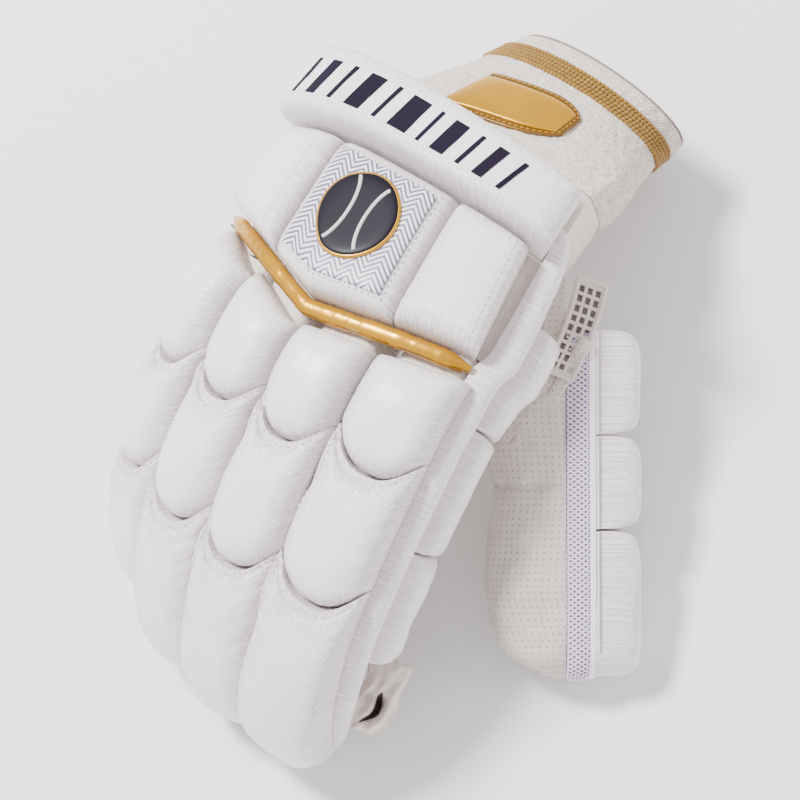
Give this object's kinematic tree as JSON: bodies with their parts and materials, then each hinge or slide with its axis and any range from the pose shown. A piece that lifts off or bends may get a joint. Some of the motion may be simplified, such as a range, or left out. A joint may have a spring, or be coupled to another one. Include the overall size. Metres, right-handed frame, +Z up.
{
  "type": "cricket batting glove",
  "caption": "Padded batting glove for a right hand with segmented finger rolls, wrist roll and knitted wristband, lying palm down.",
  "frame": {"origin": "middle of the glove's outline, on the surface that it lies on", "axes": "+Z up from that surface, -Y towards the fingertips, +X towards the thumb"},
  "size_m": [0.226, 0.299, 0.1156],
  "materials": {
    "white_leather": "smooth white coated leather",
    "palm_leather": "soft perforated sheepskin, cream",
    "spacer_mesh": "open spacer mesh, white with a lilac cast",
    "knit": "towelling knit, cream",
    "gold_knit": "knitted stripe, old gold",
    "gold_leather": "satin gold coated leather",
    "badge_cloth": "printed film, lilac grey herringbone",
    "badge_rubber": "glossy moulded rubber, dark aubergine"
  },
  "bodies": {
    "root": {"badge_emblem": "badge_rubber", "badge_panel": "badge_cloth", "centre_plate": "white_leather", "closing_strap": "gold_leather", "gold_piping": "gold_leather", "hand_leather": "palm_leather", "index_knuckle_roll": "white_leather", "index_middle_roll": "white_leather", "index_side_plate": "white_leather", "index_stall": "palm_leather", "index_tip_fold": "palm_leather", "index_tip_roll": "white_leather", "little_knuckle_roll": "white_leather", "little_middle_roll": "white_leather", "little_side_plate": "white_leather", "little_stall": "palm_leather", "little_tip_roll": "white_leather", "middle_knuckle_roll": "white_leather", "middle_middle_roll": "white_leather", "middle_stall": "palm_leather", "middle_tip_roll": "white_leather", "ring_knuckle_roll": "white_leather", "ring_middle_roll": "white_leather", "ring_stall": "palm_leather", "ring_tip_roll": "white_leather", "side_roll_1": "white_leather", "side_roll_2": "white_leather", "side_roll_3": "white_leather", "side_strip": "white_leather", "thumb_back_leather": "white_leather", "thumb_base_roll": "white_leather", "thumb_mesh": "spacer_mesh", "thumb_middle_roll": "white_leather", "thumb_palm_leather": "palm_leather", "thumb_tip_roll": "white_leather", "vent_panel": "white_leather", "wrist_roll": "white_leather", "wristband": "knit", "wristband_stripe": "gold_knit"}
  },
  "joints": []
}
